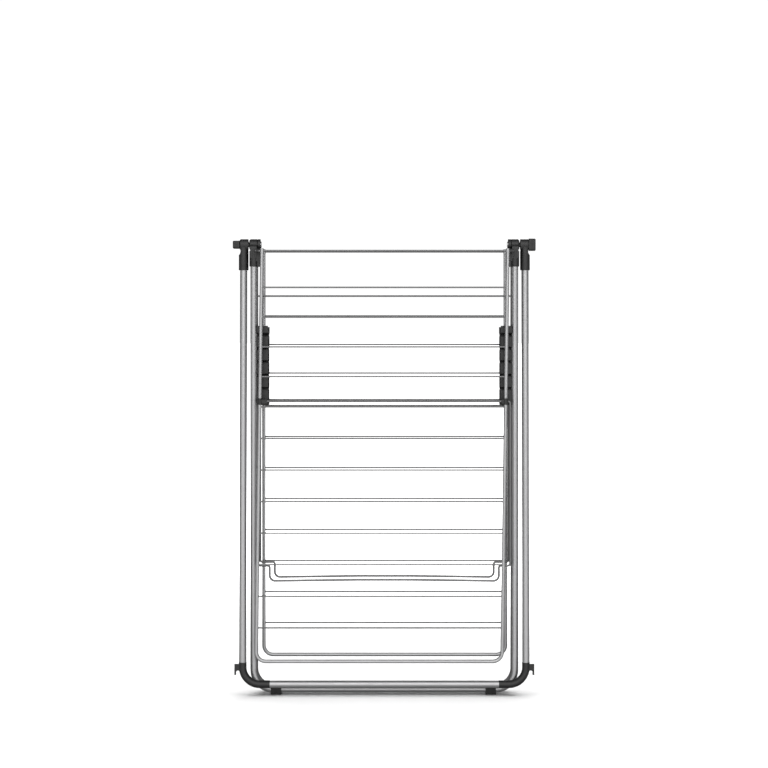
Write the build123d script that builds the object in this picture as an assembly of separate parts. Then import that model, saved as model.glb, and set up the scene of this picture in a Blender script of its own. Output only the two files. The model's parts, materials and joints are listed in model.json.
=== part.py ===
"""Folding laundry airer, folded flat: two leg frames, two wings on props and a swing-up hanger rail.

Millimetres.  +Z is up and z = 0 is the floor under the feet.  +X is to the right and the hanger
rail is on the -Y side.  The origin is the middle of the footprint.
Parts that exist at the front and at the rear are made by one function with side = -1 (front) or
side = +1 (rear).  Parts that exist at the left and at the right use hand = -1 or hand = +1.
"""
import os
from math import atan2, cos, degrees, radians, sin

from build123d import *

# --- top hinge -------------------------------------------------------------------------------
AXLE_Z = 1008.0            # common axle line of both legs and the hanger rail, at y = 0
AXLE_R = 4.0
RUNNING = 0.05             # radial running clearance of every pin in its hole
BARREL_R = 12.5
REAR_BARREL = (278.6, 285.3)      # x from and to, on the right hand side
FRONT_BARREL = (285.8, 303.3)
TEE_BARREL = (306.0, 324.7)
KNOB_X = (325.2, 340.0)
KNOB_LONG = 27.7
KNOB_SHORT = 17.8
AXLE_END_X = 335.0
AXLE_HEAD = (276.4, 278.3)
AXLE_HEAD_R = 7.0
WASHER = (303.6, 305.7)
WASHER_R = 5.4

# --- leg frames ------------------------------------------------------------------------------
TUBE_R = 8.0               # 16 mm steel tube of the legs and the hanger rail
TUBE_WALL = 1.0
LEG_X = 292.5
LEG_Y = 10.5
LEG_BAR_Z = 10.8
LEG_BEND_R = 43.0
LEG_TOP_Z = 986.5
BRACE_Z = 892.5
BRACE_R = 2.0
CAP_SLEEVE_R = 10.2
CAP_BOTTOM_Z = 958.6
CAP_SLEEVE_TOP_Z = 994.0   # stays outside the neighbour's barrel while the legs spread
CAP_FLANGE_X = (278.4, 284.5)
CAP_FLANGE_Y = (3.0, 19.5)
CAP_FLANGE_TOP_Z = 990.5
CAP_WEB_OUT_X = 300.5
MID_GAP = 0.6              # each leg's parts stop this far from the plane between the legs
FOOT_X = 240.4
FEET_SHIFT = -2.0          # the feet sit a little to the left
FOOT_LENGTH = 23.5
FOOT_WALL = 2.0
FOOT_TOP_Z = 17.0

# --- notched brackets on the legs ------------------------------------------------------------
BRACKET_X = (259.5, 286.6)
BRACKET_Y = (3.0, 17.0)
BRACKET_Z = (648.2, 825.4)
STOP_TOOTH_Y = 21.5        # the top tooth stands out and stops the prop's stub
NOTCH_TOP_Z = 803.0
NOTCH_PITCH = 30.0
NOTCH_COUNT = 5
NOTCH_SEAT_Y = 11.0
NOTCH_WIDTH = 7.0
NOTCH_DEPTH_PAST_SEAT = 4.5
NOTCH_SLOPE = 20.5         # degrees, the prop's slope when it sits in the top notch
RIVET_R = 1.6
RIVET_HEAD_R = 3.2
RIVET_POCKET_R = 4.0
RIVET_FLOOR_X = 281.0

# --- wings -----------------------------------------------------------------------------------
WING_X = 274.2
WING_Y = 33.0
WING_TUBE_R = 4.0
WING_WALL = 0.8
WING_BEND_R = 21.0
WING_HINGE_Z = 993.5
WING_TOP_Z = 997.5
HINGE_ROD_R = 2.25
HINGE_ROD_X = 288.0
LUG_X = (280.6, 286.6)
LUG_R = 4.4
RUNG_R = 1.75
RUNG_PITCH = 70.4
LOWER_RUNGS = 8
UPPER_RUNGS = 4
PLUG_R = 4.4
WINGS = {
    "front": {"side": -1, "bar_z": 77.6, "shift": (1.4, -11.6), "first": 152.4,
              "upper": 712.7, "upper_pitch": 66.4},
    "rear": {"side": 1, "bar_z": 78.9, "shift": (0.4, 0.9), "first": 151.4,
             "upper": 717.9, "upper_pitch": 64.8},
}

# --- props -----------------------------------------------------------------------------------
PROP_R = 2.5
PROP_Y = 26.0
PROP_PIVOT_Z = 657.3
PROP_ARM_X = 281.0
PROP_STUB_Z = 290.0
PROP_BAR_Z = 256.0
PROP_CAMBER = 2.6
PROP_INNER_X = {"front": 256.0, "rear": 248.0}   # the two props pass each other when both are up
PROP_BEND_R = 5.0
PROP_CORNER_R = 12.0
CLIP_RING_R = 5.5
CLIP_X = (262.0, 271.5)
CLIP_HALF_HEIGHT = 7.0
CLIP_BORE_WALL = 2.2

# --- hanger rail, drawn hanging straight down and then tipped onto the front leg -------------
RAIL_X = 316.4
RAIL_BAR_Z = 25.3
RAIL_BAR_Y = -27.3
RAIL_TILT = degrees(atan2(-RAIL_BAR_Y, AXLE_Z - RAIL_BAR_Z))
ELBOW_R = 8.5
ELBOW_BEND_R = 38.0
ELBOW_TOP_Z = 74.0
ELBOW_END_X = 255.7
SPIGOT_R = 6.9
SPIGOT_LENGTH = 20.0
TEE_SLEEVE_R = 10.9
TEE_SLEEVE_Z = (950.5, 982.7)
TEE_NECK_Z = 993.5
TEE_WAIST = (334.0, 993.0, 11.0)  # x, z and radius of the hollow in the tee's outer side
RAIL_TUBE_TOP_Z = 980.5
HOOK_OUT_X = 334.8
HOOK_TIP = 3.5
HOOK_HALF_DEPTH = 4.5
HOOK_Z = (46.2, 55.4, 69.4)       # tip, underside of the arm and top of the arm

os.makedirs("parts", exist_ok=True)


def save(shape, node):
    export_step(shape, f"parts/{node}.step")


def box(x, y, z):
    """A box from (low, high) pairs."""
    size = [high - low for low, high in (x, y, z)]
    middle = [(low + high) / 2 for low, high in (x, y, z)]
    return Pos(*middle) * Box(*size)


def span(hand, pair):
    """A (low, high) pair on the right hand side, mirrored to the left for hand = -1."""
    return tuple(sorted(hand * value for value in pair))


def rod_x(x, y, z, radius):
    """A round bar along X."""
    low, high = sorted(x)
    return Pos((low + high) / 2, y, z) * Rot(0, 90, 0) * Cylinder(radius, high - low)


def rod_z(x, y, z, radius):
    """A round bar along Z."""
    low, high = sorted(z)
    return Pos(x, y, (low + high) / 2) * Cylinder(radius, high - low)


def bent_rod(points, y, bend, radius):
    """A round bar swept along (x, z) points in the plane y, with rounded corners."""
    path = FilletPolyline(*[(x, y, z) for x, z in points], radius=bend)
    return sweep(Plane(origin=path @ 0, z_dir=path % 0) * Circle(radius), path=path)


def hang_rail(shape):
    """Tips a rail part about the axle so that the rail lies against the front leg."""
    return shape.rotate(Axis((0, 0, AXLE_Z), (1, 0, 0)), -RAIL_TILT)


# --- top hinge -------------------------------------------------------------------------------
def axle(hand):
    pin = rod_x(span(hand, (AXLE_HEAD[0], AXLE_END_X)), 0, AXLE_Z, AXLE_R)
    head = rod_x(span(hand, AXLE_HEAD), 0, AXLE_Z, AXLE_HEAD_R)
    return pin + fillet(head.edges().filter_by(GeomType.CIRCLE), 0.7)


def washer(hand):
    ring = rod_x(span(hand, WASHER), 0, AXLE_Z, WASHER_R)
    return ring - rod_x(span(hand, WASHER), 0, AXLE_Z, AXLE_R + RUNNING)


def knob(hand):
    """Flat ribbed lock knob.  The left one is stored a quarter turn from the right one."""
    low, high = KNOB_X
    tall = (-KNOB_LONG / 2, KNOB_LONG / 2)
    flat = (-KNOB_SHORT / 2, KNOB_SHORT / 2)
    y, z = (flat, tall) if hand > 0 else (tall, flat)
    body = box(span(hand, KNOB_X), y, z)
    body = fillet(body.edges().filter_by(Axis.X), 4.0)
    outer = body.faces().sort_by(Axis.X)[-1 if hand > 0 else 0]
    body = chamfer(outer.edges(), 1.6)
    groove_x = [low + 4.0 + 3.2 * index for index in range(3)]
    for x in groove_x:
        slab = box(span(hand, (x, x + 1.2)), (-20, 20), (-20, 20))
        core = Pos(hand * (x + 0.6), 0, 0) * Box(1.2, y[1] - y[0] - 1.6, z[1] - z[0] - 1.6)
        body -= slab - fillet(core.edges().filter_by(Axis.X), 3.4)
    body = Pos(0, 0, AXLE_Z) * body
    return body - rod_x(span(hand, (low - 1, AXLE_END_X + 0.5)), 0, AXLE_Z, AXLE_R + RUNNING)


# --- leg frames ------------------------------------------------------------------------------
def leg_bar(side, radius):
    points = [(-LEG_X, LEG_TOP_Z), (-LEG_X, LEG_BAR_Z), (LEG_X, LEG_BAR_Z), (LEG_X, LEG_TOP_Z)]
    return bent_rod(points, side * LEG_Y, LEG_BEND_R, radius)


def leg_tube(side):
    return leg_bar(side, TUBE_R) - leg_bar(side, TUBE_R - TUBE_WALL)


def leg_cap(side, hand):
    """Moulded cap: a sleeve on the leg tube, a hinge barrel on the axle and the wing's lug."""
    x = hand * LEG_X
    y = side * LEG_Y
    barrel_x = FRONT_BARREL if side < 0 else REAR_BARREL
    sleeve = rod_z(x, y, (CAP_BOTTOM_Z, CAP_SLEEVE_TOP_Z), CAP_SLEEVE_R)
    sleeve = fillet(sleeve.edges().filter_by(GeomType.CIRCLE), 1.5)
    sleeve &= box((-330, 330), sorted((side * MID_GAP, side * 30)), (CAP_BOTTOM_Z, CAP_SLEEVE_TOP_Z))
    flange_y = sorted(side * value for value in CAP_FLANGE_Y)
    flange = box(span(hand, CAP_FLANGE_X), flange_y, (CAP_BOTTOM_Z, CAP_FLANGE_TOP_Z))
    flange = fillet(flange.edges().filter_by(Axis.X), 1.5)
    barrel = rod_x(span(hand, barrel_x), 0, AXLE_Z, BARREL_R)
    rim = barrel.edges().filter_by(GeomType.CIRCLE).sort_by(Axis.X)
    barrel = chamfer(rim[-1 if hand > 0 else 0], 2.5 if side < 0 else 1.0)
    web_x = (barrel_x[0] + 0.4, min(barrel_x[1] - 0.4, CAP_WEB_OUT_X))
    web_y = sorted((side * MID_GAP, side * (LEG_Y + CAP_SLEEVE_R - 0.6)))
    web = box(span(hand, web_x), web_y, (CAP_SLEEVE_TOP_Z - 16, AXLE_Z))
    outer_edge = web.edges().filter_by(Axis.X).sort_by(Axis.Z)[-2:].sort_by(Axis.Y)
    web = fillet(outer_edge[0 if side < 0 else -1], 9.0)
    lug_y = sorted((side * (LEG_Y + CAP_SLEEVE_R - 3), side * WING_Y))
    lug = box(span(hand, LUG_X), lug_y, (WING_HINGE_Z - LUG_R, WING_HINGE_Z + LUG_R))
    lug += rod_x(span(hand, LUG_X), side * WING_Y, WING_HINGE_Z, LUG_R)
    lug += box(span(hand, (LUG_X[0], LUG_X[1] + 4)), sorted((side * 12, side * 19)),
               (WING_HINGE_Z - 22, WING_HINGE_Z - 1))
    cap = sleeve + flange + barrel + web + lug
    cap -= rod_z(x, y, (CAP_BOTTOM_Z - 5, LEG_TOP_Z + 1), TUBE_R)
    cap -= rod_x(span(hand, (270, 310)), 0, AXLE_Z, AXLE_R + RUNNING)
    return cap - rod_x(span(hand, (270, HINGE_ROD_X + 1)), side * WING_Y, WING_HINGE_Z,
                       HINGE_ROD_R + RUNNING)


def brace(side):
    """Wire welded between the two tubes of a leg, its ends coped to the tubes."""
    return rod_x((-LEG_X + TUBE_WALL, LEG_X - TUBE_WALL), side * LEG_Y, BRACE_Z, BRACE_R) - leg_bar(side, TUBE_R)


def foot(side, hand):
    """Rubber saddle under the leg's bottom bar."""
    middle = hand * FOOT_X + FEET_SHIFT
    x = (middle - FOOT_LENGTH / 2, middle + FOOT_LENGTH / 2)
    half = TUBE_R + FOOT_WALL
    y = side * LEG_Y
    pad = box(x, (y - half, y + half), (0, FOOT_TOP_Z))
    pad = fillet(pad.edges().filter_by(Axis.X).sort_by(Axis.Z)[:2], 2.5)
    pad = fillet(pad.edges().filter_by(Axis.Z), 1.2)
    return pad - leg_bar(side, TUBE_R)


def notch(side, z):
    """Cutter for one notch: it slopes down towards the leg, along the seated prop."""
    reach = 30.0
    past = NOTCH_DEPTH_PAST_SEAT
    slot = Pos(0, (past - reach) / 2, 0) * Box(700, reach + past, NOTCH_WIDTH)
    slot = Rot(-NOTCH_SLOPE, 0, 0) * slot
    slot = Pos(0, -NOTCH_SEAT_Y, z) * slot
    return slot if side < 0 else slot.mirror(Plane.XZ)


def bracket(side, hand):
    """Notched rack clipped along the inner side of a leg tube."""
    y = sorted(side * value for value in BRACKET_Y)
    body = box(span(hand, BRACKET_X), y, BRACKET_Z)
    body = fillet(body.edges().filter_by(Axis.Z), 2.0)
    stop_y = sorted(side * value for value in (BRACKET_Y[0], STOP_TOOTH_Y))
    stop = box(span(hand, BRACKET_X), stop_y, (NOTCH_TOP_Z + NOTCH_WIDTH / 2, BRACKET_Z[1]))
    body += fillet(stop.edges().filter_by(Axis.Z), 2.0)
    inner_top = box(span(hand, (BRACKET_X[0] - 1, BRACKET_X[0] + 4)), (-25, 25),
                    (BRACKET_Z[1] - 3, BRACKET_Z[1] + 1))
    body -= inner_top
    for index in range(NOTCH_COUNT):
        body -= notch(side, NOTCH_TOP_Z - index * NOTCH_PITCH)
    tube = rod_z(hand * LEG_X, side * LEG_Y, (BRACKET_Z[0] - 1, BRACKET_Z[1] + 1), TUBE_R)
    for z in rivet_heights():
        body -= rod_x(span(hand, (BRACKET_X[0] - 1, RIVET_FLOOR_X)), side * LEG_Y, z, RIVET_POCKET_R)
        body -= rod_x(span(hand, (BRACKET_X[0] - 1, LEG_X)), side * LEG_Y, z, RIVET_R)
    return body - tube


def rivet_heights():
    """Rivets sit in the solid stretches between two notches near each end."""
    return [NOTCH_TOP_Z - (index + 0.5) * NOTCH_PITCH for index in (0, NOTCH_COUNT - 2)]


def bracket_rivets(side):
    rivets = []
    for hand in (-1, 1):
        for z in rivet_heights():
            head = rod_x(span(hand, (RIVET_FLOOR_X - 1.6, RIVET_FLOOR_X)), side * LEG_Y, z, RIVET_HEAD_R)
            shank = rod_x(span(hand, (RIVET_FLOOR_X - 1, LEG_X)), side * LEG_Y, z, RIVET_R)
            rivets.append(head + shank - leg_bar(side, TUBE_R))
    return Compound(children=rivets)


# --- wings -----------------------------------------------------------------------------------
def wing_shift(wing, z):
    """Sideways shift of the hanging wing at height z: slack in the hinges lets it lean a little."""
    at_top, at_bottom = wing["shift"]
    return at_top + (at_bottom - at_top) * (WING_TOP_Z - z) / (WING_TOP_Z - wing["bar_z"])


def wing_bar(wing, radius):
    low = wing["bar_z"]
    at_top, at_bottom = wing["shift"]
    points = [(at_top - WING_X, WING_TOP_Z), (at_bottom - WING_X, low),
              (at_bottom + WING_X, low), (at_top + WING_X, WING_TOP_Z)]
    return bent_rod(points, wing["side"] * WING_Y, WING_BEND_R, radius)


def wing_frame(wing):
    tube = wing_bar(wing, WING_TUBE_R) - wing_bar(wing, WING_TUBE_R - WING_WALL)
    return tube - rod_x((-WING_X - 10, WING_X + 10), wing["side"] * WING_Y, WING_HINGE_Z, HINGE_ROD_R)


def wing_rungs(wing):
    heights = [wing["first"] + RUNG_PITCH * index for index in range(LOWER_RUNGS)]
    heights += [wing["upper"] + wing["upper_pitch"] * index for index in range(UPPER_RUNGS)]
    reach = WING_X - WING_WALL
    frame = wing_bar(wing, WING_TUBE_R)
    rungs = []
    for z in heights:
        shift = wing_shift(wing, z)
        rung = rod_x((shift - reach, shift + reach), wing["side"] * WING_Y, z, RUNG_R)
        rungs.append(rung - frame)
    return Compound(children=rungs)


def hinge_rod(wing):
    rod = rod_x((-HINGE_ROD_X, HINGE_ROD_X), wing["side"] * WING_Y, WING_HINGE_Z, HINGE_ROD_R)
    return chamfer(rod.edges().filter_by(GeomType.CIRCLE), 0.5)


def wing_plugs(wing):
    """Caps on the two upper ends of the wing frame, around the hinge rod."""
    plugs = []
    y = wing["side"] * WING_Y
    for hand in (-1, 1):
        x = hand * WING_X + wing["shift"][0]
        cap = rod_z(x, y, (WING_HINGE_Z - 5.0, WING_TOP_Z + 1.4), PLUG_R)
        cap = fillet(cap.edges().filter_by(GeomType.CIRCLE).sort_by(Axis.Z)[-1], 1.4)
        cap -= wing_bar(wing, WING_TUBE_R)
        cap -= rod_x(span(hand, (WING_X - 8, WING_X + 8)), y, WING_HINGE_Z, HINGE_ROD_R)
        plugs.append(cap)
    return Compound(children=plugs)


def prop_clips(wing):
    """Clips on the wing tubes that hold the prop's top bar."""
    side = wing["side"]
    clips = []
    z = (PROP_PIVOT_Z - CLIP_HALF_HEIGHT, PROP_PIVOT_Z + CLIP_HALF_HEIGHT)
    for hand in (-1, 1):
        x = hand * WING_X + wing_shift(wing, PROP_PIVOT_Z)
        ring = rod_z(x, side * WING_Y, z, CLIP_RING_R)
        ring &= box((-300, 300), sorted((side * (PROP_Y + 3.2), side * 45)), z)
        eye = rod_x(span(hand, CLIP_X), side * PROP_Y, PROP_PIVOT_Z, PROP_R + CLIP_BORE_WALL)
        arm_x = sorted((x, hand * CLIP_X[0]))
        arm = box(arm_x, sorted((side * (PROP_Y + 3.2), side * (WING_Y + 3.5))),
                  (PROP_PIVOT_Z - 4.5, PROP_PIVOT_Z + 4.5))
        clip = ring + eye + arm
        clip -= wing_bar(wing, WING_TUBE_R)
        clip -= rod_x(span(hand, (250, 300)), side * PROP_Y, PROP_PIVOT_Z, PROP_R + RUNNING)
        clips.append(clip)
    return Compound(children=clips)


def prop(name):
    """Wire loop: half of it is swept and mirrored.  Its bottom bar is cambered upwards."""
    inner = PROP_INNER_X[name]
    crest = PROP_BAR_Z + PROP_CAMBER
    points = [(0, PROP_PIVOT_Z), (PROP_ARM_X, PROP_PIVOT_Z), (PROP_ARM_X, PROP_STUB_Z),
              (inner, PROP_STUB_Z), (inner, PROP_BAR_Z), (60, crest), (0, crest)]
    bends = [PROP_BEND_R, PROP_BEND_R, PROP_BEND_R, PROP_CORNER_R, 600.0]
    half = bent_rod(points, WINGS[name]["side"] * PROP_Y, bends, PROP_R)
    return half + half.mirror(Plane.YZ)


# --- hanger rail -----------------------------------------------------------------------------
def rail_tube(hand):
    tube = rod_z(hand * RAIL_X, 0, (ELBOW_TOP_Z, RAIL_TUBE_TOP_Z), TUBE_R)
    return hang_rail(tube - rod_z(hand * RAIL_X, 0, (ELBOW_TOP_Z - 1, RAIL_TUBE_TOP_Z + 1),
                                  TUBE_R - TUBE_WALL))


def rail_bar_height():
    """Height of the bar's centre before the rail is tipped."""
    return AXLE_Z - (AXLE_Z - RAIL_BAR_Z) / cos(radians(RAIL_TILT))


def rail_bottom_bar():
    z = rail_bar_height()
    bar = rod_x((-ELBOW_END_X, ELBOW_END_X), 0, z, TUBE_R)
    return hang_rail(bar - rod_x((-ELBOW_END_X - 1, ELBOW_END_X + 1), 0, z, TUBE_R - TUBE_WALL))


def rail_elbow(hand):
    """Moulded corner with a spigot into each tube and an outer hook."""
    low = rail_bar_height()
    x = hand * RAIL_X
    body = bent_rod([(x, ELBOW_TOP_Z), (x, low), (hand * ELBOW_END_X, low)], 0, ELBOW_BEND_R, ELBOW_R)
    body += rod_z(x, 0, (ELBOW_TOP_Z - 1, ELBOW_TOP_Z + SPIGOT_LENGTH), SPIGOT_R)
    body += rod_x((hand * (ELBOW_END_X + 1), hand * (ELBOW_END_X - SPIGOT_LENGTH)), 0, low, SPIGOT_R)
    return hang_rail(body + hook(hand))


def hook(hand):
    tip_z, under_z, top_z = HOOK_Z
    depth = (-HOOK_HALF_DEPTH, HOOK_HALF_DEPTH)
    arm = box(span(hand, (RAIL_X, HOOK_OUT_X)), depth, (tip_z, top_z))
    mouth_x = HOOK_OUT_X - HOOK_TIP
    throat = RAIL_X + ELBOW_R - 1.0
    mouth = box(span(hand, (RAIL_X - 1, mouth_x)), (-9, 9), (tip_z - 1, under_z - 4))
    arch = Pos(hand * (mouth_x - 4.6), 0, under_z - 4) * Rot(90, 0, 0) * Cylinder(4.6, 18)
    arm = arm - mouth - arch
    arm -= box(span(hand, (RAIL_X - 1, throat)), (-9, 9), (tip_z - 1, under_z - 2))
    return arm


def rail_tee(hand):
    """Moulded tee: hinge barrel, a neck waisted on its outer side and the tube sleeve."""
    x = hand * RAIL_X
    barrel = rod_x(span(hand, TEE_BARREL), 0, AXLE_Z, BARREL_R)
    rim = barrel.edges().filter_by(GeomType.CIRCLE).sort_by(Axis.X)
    barrel = chamfer(rim[-1 if hand > 0 else 0], 1.6)
    neck = rod_z(x, 0, (TEE_SLEEVE_Z[0], AXLE_Z), TEE_SLEEVE_R)
    neck = fillet(neck.edges().filter_by(GeomType.CIRCLE).sort_by(Axis.Z)[0], 1.5)
    waist_x, waist_z, waist_r = TEE_WAIST
    neck -= Pos(hand * waist_x, 0, waist_z) * Rot(90, 0, 0) * Cylinder(waist_r, 40)
    sleeve = neck & box((-330, 330), (-20, 20), (TEE_SLEEVE_Z[0], TEE_NECK_Z))
    neck_x = (TEE_BARREL[0] + 0.4, TEE_BARREL[1] - 0.6)
    neck &= box(span(hand, neck_x), (-20, 20), (TEE_SLEEVE_Z[0], AXLE_Z))
    tee = barrel + neck + sleeve
    tee -= rod_z(x, 0, (TEE_SLEEVE_Z[0] - 5, RAIL_TUBE_TOP_Z + 1), TUBE_R)
    return hang_rail(tee - rod_x(span(hand, (300, 330)), 0, AXLE_Z, AXLE_R + RUNNING))


# --- write every node ------------------------------------------------------------------------
HANDS = {"left": -1, "right": 1}
SIDES = {"front": -1, "rear": 1}

save(Compound(children=[washer(hand) for hand in HANDS.values()]), "hinge_washers")
for hand_name, hand in HANDS.items():
    save(axle(hand), f"axle_{hand_name}")
    save(knob(hand), f"lock_knob_{hand_name}")
    save(rail_tube(hand), f"rail_tube_{hand_name}")
    save(rail_elbow(hand), f"rail_elbow_{hand_name}")
    save(rail_tee(hand), f"rail_tee_{hand_name}")
save(rail_bottom_bar(), "rail_bottom_bar")

for side_name, side in SIDES.items():
    wing = WINGS[side_name]
    save(leg_tube(side), f"{side_name}_leg_tube")
    save(brace(side), f"{side_name}_leg_brace")
    save(Compound(children=[foot(side, hand) for hand in HANDS.values()]), f"{side_name}_feet")
    save(bracket_rivets(side), f"{side_name}_bracket_rivets")
    for hand_name, hand in HANDS.items():
        save(leg_cap(side, hand), f"{side_name}_cap_{hand_name}")
        save(bracket(side, hand), f"{side_name}_bracket_{hand_name}")
    save(wing_frame(wing), f"{side_name}_wing_frame")
    save(wing_rungs(wing), f"{side_name}_wing_rungs")
    save(hinge_rod(wing), f"{side_name}_wing_hinge_rod")
    save(wing_plugs(wing), f"{side_name}_wing_plugs")
    save(prop_clips(wing), f"{side_name}_prop_clips")
    save(prop(side_name), f"{side_name}_prop")
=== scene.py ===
"""Looks of the folded laundry airer: lacquered steel tube, moulded black plastic, studio light."""
import json
import math

import bmesh
import bpy
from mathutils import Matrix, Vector

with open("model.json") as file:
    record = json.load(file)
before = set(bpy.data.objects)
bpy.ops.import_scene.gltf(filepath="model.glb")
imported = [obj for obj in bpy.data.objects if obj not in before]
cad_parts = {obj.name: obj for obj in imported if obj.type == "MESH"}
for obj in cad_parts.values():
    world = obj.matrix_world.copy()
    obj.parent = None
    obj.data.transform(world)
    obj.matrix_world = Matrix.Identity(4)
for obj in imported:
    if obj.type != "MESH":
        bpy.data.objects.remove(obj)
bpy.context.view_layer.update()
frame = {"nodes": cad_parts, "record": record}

NODES = frame["nodes"]
CAMERA_DISTANCE = 3.7
CAMERA_X = -0.0007
CAMERA_HEIGHT = 0.8837
LENS = 77.06
SHIFT_Y = -0.109375
SKY = 0.35
TOP_POWER = 560.0
WHITE = (1.0, 1.0, 1.0, 1.0)

# The floor glows from the first distance from the airer to the second, in metres.
FLOOR_RADIUS = 30.0
GLOW = 1.3
GLOW_REACH = (0.6, 1.8)

# Reflections see a glowing stand-in for the floor with a painted shadow: it fades from bright to dim
# between these two values of Y, dim under and behind the airer; and reflections see a large light in front.
MIRROR_FLOOR = (1.0, 0.14)
MIRROR_FLOOR_Y = (-0.15, 0.0)
MIRROR_LIGHT = (0.12, 2.4)
MIRROR_LIGHT_TOWARD = (0.0, -0.94, 0.34)
MIRROR_LIGHT_EDGE = (0.5, 0.98)


# --- node helpers ----------------------------------------------------------------------------
def new_material(name):
    """A material with an empty node tree but for a Principled shader and its output."""
    material = bpy.data.materials.new(name)
    material.use_nodes = True
    tree = material.node_tree
    tree.nodes.clear()
    output = tree.nodes.new("ShaderNodeOutputMaterial")
    shader = tree.nodes.new("ShaderNodeBsdfPrincipled")
    tree.links.new(shader.outputs["BSDF"], output.inputs["Surface"])
    return material, tree, shader


def object_coordinates(tree, scale=(1.0, 1.0, 1.0)):
    """Object coordinates, in metres, because every object sits at the origin."""
    coordinates = tree.nodes.new("ShaderNodeTexCoord")
    mapping = tree.nodes.new("ShaderNodeMapping")
    mapping.inputs["Scale"].default_value = scale
    tree.links.new(coordinates.outputs["Object"], mapping.inputs["Vector"])
    return mapping.outputs["Vector"]


def noise(tree, vector, scale, detail=2.0, roughness=0.5):
    node = tree.nodes.new("ShaderNodeTexNoise")
    node.inputs["Scale"].default_value = scale
    node.inputs["Detail"].default_value = detail
    node.inputs["Roughness"].default_value = roughness
    tree.links.new(vector, node.inputs["Vector"])
    return node.outputs["Fac"]


def spread(tree, value, low, high, source=(0.3, 0.7), curve="LINEAR"):
    """Maps a texture's value to the range low to high."""
    node = tree.nodes.new("ShaderNodeMapRange")
    node.interpolation_type = curve
    node.inputs["From Min"].default_value = source[0]
    node.inputs["From Max"].default_value = source[1]
    node.inputs["To Min"].default_value = low
    node.inputs["To Max"].default_value = high
    tree.links.new(value, node.inputs["Value"])
    return node.outputs["Result"]


def tint(tree, value, dark, light, source=(0.3, 0.7)):
    """A colour between dark and light, led by a texture's value."""
    ramp = tree.nodes.new("ShaderNodeValToRGB")
    ramp.color_ramp.elements[0].position = source[0]
    ramp.color_ramp.elements[0].color = (*dark, 1.0)
    ramp.color_ramp.elements[1].position = source[1]
    ramp.color_ramp.elements[1].color = (*light, 1.0)
    tree.links.new(value, ramp.inputs["Fac"])
    return ramp.outputs["Color"]


def bump(tree, shader, height, strength, distance):
    node = tree.nodes.new("ShaderNodeBump")
    node.inputs["Strength"].default_value = strength
    node.inputs["Distance"].default_value = distance
    tree.links.new(height, node.inputs["Height"])
    tree.links.new(node.outputs["Normal"], shader.inputs["Normal"])


# --- materials -------------------------------------------------------------------------------
def silver_lacquer(name, grey):
    """Silver-grey metallic lacquer on steel: fine flake, slight orange peel, handling marks."""
    material, tree, shader = new_material(name)
    where = object_coordinates(tree)
    flake = noise(tree, where, 2600.0, 1.0)
    haze = noise(tree, where, 55.0, 4.0, 0.6)
    peel = noise(tree, where, 420.0, 2.0)
    colour = tint(tree, flake, [grey * 0.93] * 3, [grey * 1.05, grey * 1.05, grey * 1.07])
    tree.links.new(colour, shader.inputs["Base Color"])
    tree.links.new(spread(tree, haze, 0.40, 0.50), shader.inputs["Roughness"])
    shader.inputs["Metallic"].default_value = 0.92
    shader.inputs["Coat Weight"].default_value = 0.15
    shader.inputs["Coat Roughness"].default_value = 0.2
    bump(tree, shader, peel, 0.03, 0.0002)
    return material


def moulded_plastic(name, grey):
    """Near-black polypropylene with a fine spark-eroded grain and soft sheen."""
    material, tree, shader = new_material(name)
    where = object_coordinates(tree)
    grain = noise(tree, where, 1500.0, 3.0, 0.6)
    cloud = noise(tree, where, 60.0, 3.0)
    colour = tint(tree, cloud, [grey * 0.85] * 3, [grey * 1.2, grey * 1.2, grey * 1.22])
    tree.links.new(colour, shader.inputs["Base Color"])
    tree.links.new(spread(tree, grain, 0.42, 0.58), shader.inputs["Roughness"])
    bump(tree, shader, grain, 0.25, 0.0002)
    return material


def foot_rubber(name):
    material, tree, shader = new_material(name)
    where = object_coordinates(tree)
    grain = noise(tree, where, 900.0, 4.0, 0.7)
    colour = tint(tree, grain, (0.012, 0.012, 0.012), (0.024, 0.024, 0.024))
    tree.links.new(colour, shader.inputs["Base Color"])
    tree.links.new(spread(tree, grain, 0.68, 0.85), shader.inputs["Roughness"])
    bump(tree, shader, grain, 0.3, 0.0003)
    return material


def zinc_steel(name):
    """Zinc plated pins and rivets: bright, with fine turning marks across the pin."""
    material, tree, shader = new_material(name)
    where = object_coordinates(tree, (9.0, 1.0, 1.0))
    marks = noise(tree, where, 500.0, 2.0)
    colour = tint(tree, marks, (0.50, 0.50, 0.51), (0.66, 0.66, 0.66))
    tree.links.new(colour, shader.inputs["Base Color"])
    tree.links.new(spread(tree, marks, 0.22, 0.36), shader.inputs["Roughness"])
    shader.inputs["Metallic"].default_value = 1.0
    bump(tree, shader, marks, 0.15, 0.0001)
    return material


MATERIALS = {
    "silver_tube": silver_lacquer("silver_tube_lacquer", 0.39),
    "silver_wire": silver_lacquer("silver_wire_lacquer", 0.17),
    "black_plastic": moulded_plastic("black_moulded_plastic", 0.006),
    "black_rubber": foot_rubber("black_foot_rubber"),
    "bright_steel": zinc_steel("zinc_plated_steel"),
}


def dress_cad_nodes():
    """Gives every CAD node the detailed material of its slot."""
    for row in frame["record"]["subparts"]:
        node = NODES[row["node"]]
        node.data.materials.clear()
        node.data.materials.append(MATERIALS[row["material_slot"]])
        for polygon in node.data.polygons:
            polygon.material_index = 0


# --- studio ----------------------------------------------------------------------------------
def mix(tree, factor, first, second):
    node = tree.nodes.new("ShaderNodeMixShader")
    tree.links.new(factor, node.inputs["Fac"])
    tree.links.new(first, node.inputs[1])
    tree.links.new(second, node.inputs[2])
    return node.outputs["Shader"]


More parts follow.
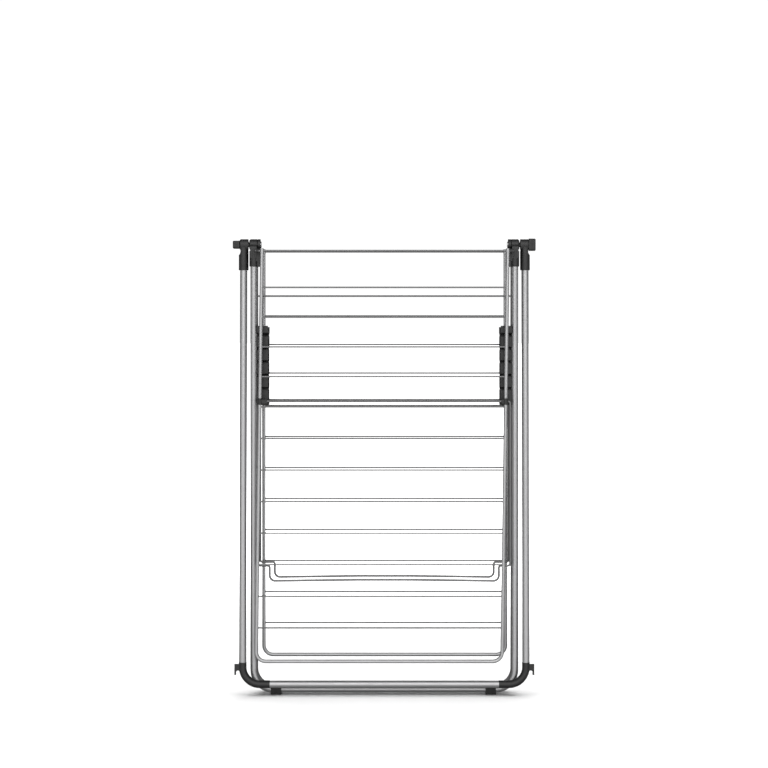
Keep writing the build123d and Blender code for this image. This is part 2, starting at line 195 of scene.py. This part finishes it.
def pale_floor():
    """White paper that glows away from the airer; reflections see a glowing sheet instead, with a painted
    shadow that makes it dim under and behind it.
    """
    mesh = bpy.data.meshes.new("floor")
    shape = bmesh.new()
    bmesh.ops.create_circle(shape, cap_ends=True, segments=96, radius=FLOOR_RADIUS)
    shape.to_mesh(mesh)
    shape.free()
    floor = bpy.data.objects.new("floor", mesh)
    bpy.context.scene.collection.objects.link(floor)
    material, tree, shader = new_material("floor_paper")
    where = object_coordinates(tree)
    colour = tint(tree, noise(tree, where, 3.0), (0.86, 0.86, 0.86), (0.88, 0.88, 0.88))
    tree.links.new(colour, shader.inputs["Base Color"])
    shader.inputs["Roughness"].default_value = 0.9
    shader.inputs["Specular IOR Level"].default_value = 0.0
    shader.inputs["Emission Color"].default_value = WHITE
    split = tree.nodes.new("ShaderNodeSeparateXYZ")
    tree.links.new(where, split.inputs["Vector"])
    radius = tree.nodes.new("ShaderNodeVectorMath")
    radius.operation = "LENGTH"
    tree.links.new(where, radius.inputs[0])
    glow = spread(tree, radius.outputs["Value"], 0.0, GLOW, GLOW_REACH)
    tree.links.new(glow, shader.inputs["Emission Strength"])
    # Glossy rays see this emission instead of the paper: a painted reflection of the floor, with a painted
    # shadow that dims it under and behind the airer.
    mirrored = tree.nodes.new("ShaderNodeEmission")
    painted_shadow_in_reflection = spread(tree, split.outputs["Y"], *MIRROR_FLOOR, MIRROR_FLOOR_Y, "SMOOTHSTEP")
    tree.links.new(painted_shadow_in_reflection, mirrored.inputs["Strength"])
    path = tree.nodes.new("ShaderNodeLightPath")
    surface = mix(tree, path.outputs["Is Glossy Ray"], shader.outputs["BSDF"], mirrored.outputs["Emission"])
    output = next(node for node in tree.nodes if node.type == "OUTPUT_MATERIAL")
    tree.links.new(surface, output.inputs["Surface"])
    mesh.materials.append(material)


def lobe(tree, direction, toward, low, high):
    """Strength that rises from low to high as a direction turns towards a unit vector."""
    dot = tree.nodes.new("ShaderNodeVectorMath")
    dot.operation = "DOT_PRODUCT"
    dot.inputs[1].default_value = toward
    tree.links.new(direction, dot.inputs[0])
    return spread(tree, dot.outputs["Value"], low, high, MIRROR_LIGHT_EDGE, "SMOOTHSTEP")


def background(tree, strength):
    node = tree.nodes.new("ShaderNodeBackground")
    if isinstance(strength, float):
        node.inputs["Strength"].default_value = strength
    else:
        tree.links.new(strength, node.inputs["Strength"])
    node.inputs["Color"].default_value = WHITE
    return node.outputs["Background"]


def soft_world():
    """White to the eye, even for soft light; in reflections a large light in front and above."""
    world = bpy.data.worlds.new("studio")
    bpy.context.scene.world = world
    world.use_nodes = True
    tree = world.node_tree
    tree.nodes.clear()
    direction = tree.nodes.new("ShaderNodeTexCoord").outputs["Generated"]
    front = lobe(tree, direction, MIRROR_LIGHT_TOWARD, *MIRROR_LIGHT)
    path = tree.nodes.new("ShaderNodeLightPath")
    soft = mix(tree, path.outputs["Is Glossy Ray"], background(tree, SKY), background(tree, front))
    eye = mix(tree, path.outputs["Is Camera Ray"], soft, background(tree, 1.05))
    output = tree.nodes.new("ShaderNodeOutputWorld")
    tree.links.new(eye, output.inputs["Surface"])


def softbox(name, place, target, size, power, mirrored=True):
    light = bpy.data.lights.new(name, "AREA")
    light.shape = "RECTANGLE"
    light.size, light.size_y = size
    light.energy = power
    lamp = bpy.data.objects.new(name, light)
    lamp.location = place
    lamp.rotation_euler = (Vector(target) - Vector(place)).to_track_quat("-Z", "Y").to_euler()
    lamp.visible_glossy = mirrored
    bpy.context.scene.collection.objects.link(lamp)


def studio_light():
    middle = (0.0, 0.0, 0.3)
    softbox("front_box", (0.0, -3.2, 2.6), middle, (2.2, 1.4), 8.0)
    softbox("rear_box", (0.9, 3.2, 2.4), middle, (1.4, 1.0), 10.0)
    softbox("top_box", (0.0, 0.6, 6.0), middle, (9.0, 6.0), TOP_POWER, mirrored=False)


def front_camera():
    camera = bpy.data.cameras.new("camera")
    camera.lens = LENS
    camera.sensor_width = 36.0
    camera.shift_y = SHIFT_Y
    lens = bpy.data.objects.new("camera", camera)
    lens.location = (CAMERA_X, -CAMERA_DISTANCE, CAMERA_HEIGHT)
    lens.rotation_euler = (math.radians(90.0), 0.0, 0.0)
    bpy.context.scene.collection.objects.link(lens)
    bpy.context.scene.camera = lens


front_camera()
dress_cad_nodes()
pale_floor()
soft_world()
studio_light()
bpy.context.scene.view_settings.view_transform = "Standard"
